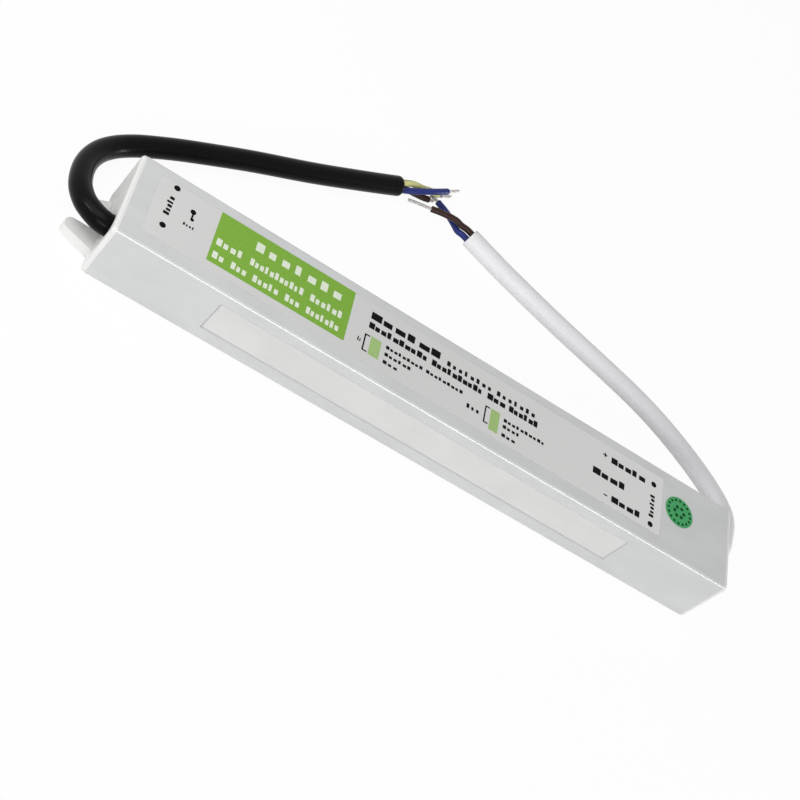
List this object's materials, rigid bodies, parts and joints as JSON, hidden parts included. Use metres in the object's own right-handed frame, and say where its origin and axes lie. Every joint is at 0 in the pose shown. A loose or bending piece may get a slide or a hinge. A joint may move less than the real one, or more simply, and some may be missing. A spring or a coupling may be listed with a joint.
{
  "type": "led driver",
  "caption": "Slim potted LED driver: a long aluminium tube with white moulded end caps, screw tabs, a black mains cable and a white output cable with bared cores.",
  "frame": {"origin": "middle of the base, on the face that the driver rests on", "axes": "+X along the tube to the output end, +Y to the back, where the cables lie, +Z out of the label face"},
  "size_m": [0.2355, 0.1089, 0.0205],
  "materials": {
    "anodised_aluminium": "satin",
    "white_plastic": "fine texture",
    "black_jacket": "matte",
    "white_jacket": "satin",
    "blue_insulation": "gloss",
    "brown_insulation": "gloss",
    "earth_insulation": "gloss, green with a yellow stripe",
    "tinned_copper": "tinned",
    "board_laminate": "solder mask",
    "insulating_film": "smooth",
    "black_resin": "moulded",
    "white_resin": "moulded",
    "blue_coating": "dipped",
    "yellow_case": "moulded",
    "ferrite": "matte",
    "enamelled_copper": "enamelled",
    "capacitor_sleeve": "shrink sleeve",
    "winding_tape": "tape",
    "potting_compound": "cast",
    "rating_film": "printed film",
    "bare_film": "plain film",
    "green_film": "printed film"
  },
  "bodies": {
    "root": {"housing": "anodised_aluminium", "input_end_cap": "white_plastic", "output_end_cap": "white_plastic", "input_cable": "black_jacket", "input_core_blue": "blue_insulation", "input_core_brown": "brown_insulation", "input_core_earth": "earth_insulation", "input_strands_blue": "tinned_copper", "input_strands_brown": "tinned_copper", "input_strands_earth": "tinned_copper", "output_cable": "white_jacket", "output_core_brown": "brown_insulation", "output_core_blue": "blue_insulation", "output_strands_brown": "tinned_copper", "output_strands_blue": "tinned_copper", "line_lead": "brown_insulation", "neutral_lead": "blue_insulation", "earth_lead": "earth_insulation", "positive_lead": "brown_insulation", "negative_lead": "blue_insulation", "circuit_board": "board_laminate", "insulating_sheet": "insulating_film", "fuse": "black_resin", "varistor": "blue_coating", "line_capacitor": "yellow_case", "line_choke_base": "black_resin", "line_choke_core": "ferrite", "line_choke_winding_a": "enamelled_copper", "line_choke_winding_b": "enamelled_copper", "bridge_rectifier": "black_resin", "bulk_capacitor": "capacitor_sleeve", "safety_capacitor": "blue_coating", "switching_transistor": "black_resin", "control_chip": "black_resin", "optocoupler": "white_resin", "transformer_bobbin": "black_resin", "transformer_core": "ferrite", "transformer_winding": "winding_tape", "output_rectifier": "black_resin", "output_capacitor_a": "capacitor_sleeve", "output_capacitor_b": "capacitor_sleeve", "output_choke_core": "ferrite", "output_choke_winding": "enamelled_copper", "potting": "potting_compound", "rating_label": "rating_film", "side_label": "bare_film", "round_sticker": "green_film"}
  },
  "joints": []
}
